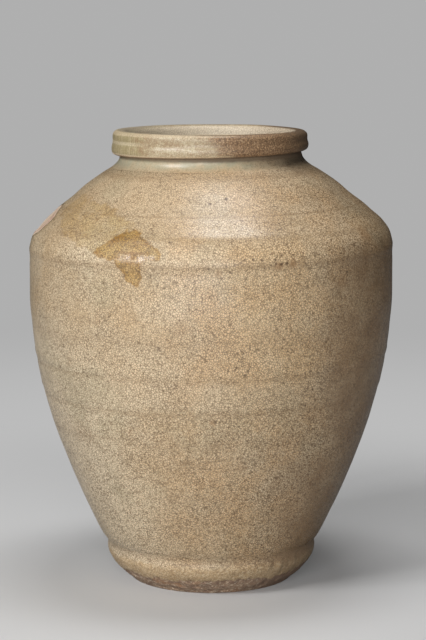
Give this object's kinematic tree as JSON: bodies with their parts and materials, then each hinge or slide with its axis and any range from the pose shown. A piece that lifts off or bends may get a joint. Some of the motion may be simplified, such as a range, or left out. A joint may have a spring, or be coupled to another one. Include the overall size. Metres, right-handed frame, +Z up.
{
  "type": "stoneware storage jar",
  "caption": "Lidless wheel-thrown stoneware jar with a thick rolled lip, sunk neck, broad angled shoulder, tapering body and small foot, for keeping liquids or dry goods.",
  "frame": {"origin": "the middle of the ring that the jar rests on, at the level of the table", "axes": "+Z up along the jar's axis, -Y towards the side that the picture shows, +X to its right"},
  "size_m": [0.1932, 0.1932, 0.24],
  "materials": {
    "body_glaze": "glossy thin glaze with a fine crackle",
    "shoulder_glaze": "glossy thin glaze with a fine crackle",
    "neck_glaze": "glossy pooled glaze, a little greener",
    "lip_glaze": "glossy glaze, browned and densely crackled",
    "bare_foot": "thin glaze above, rough bare clay at the bottom edge",
    "coil_clay": "thin glaze over hand-pressed clay"
  },
  "bodies": {
    "root": {"base_dish": "bare_foot", "lower_body": "body_glaze", "upper_body": "body_glaze", "shoulder": "shoulder_glaze", "neck_collar": "neck_glaze", "rim_band": "lip_glaze", "base_seam_coil": "coil_clay", "belly_seam_coil": "coil_clay", "shoulder_seam_coil": "coil_clay", "neck_seam_coil": "coil_clay"}
  },
  "joints": []
}
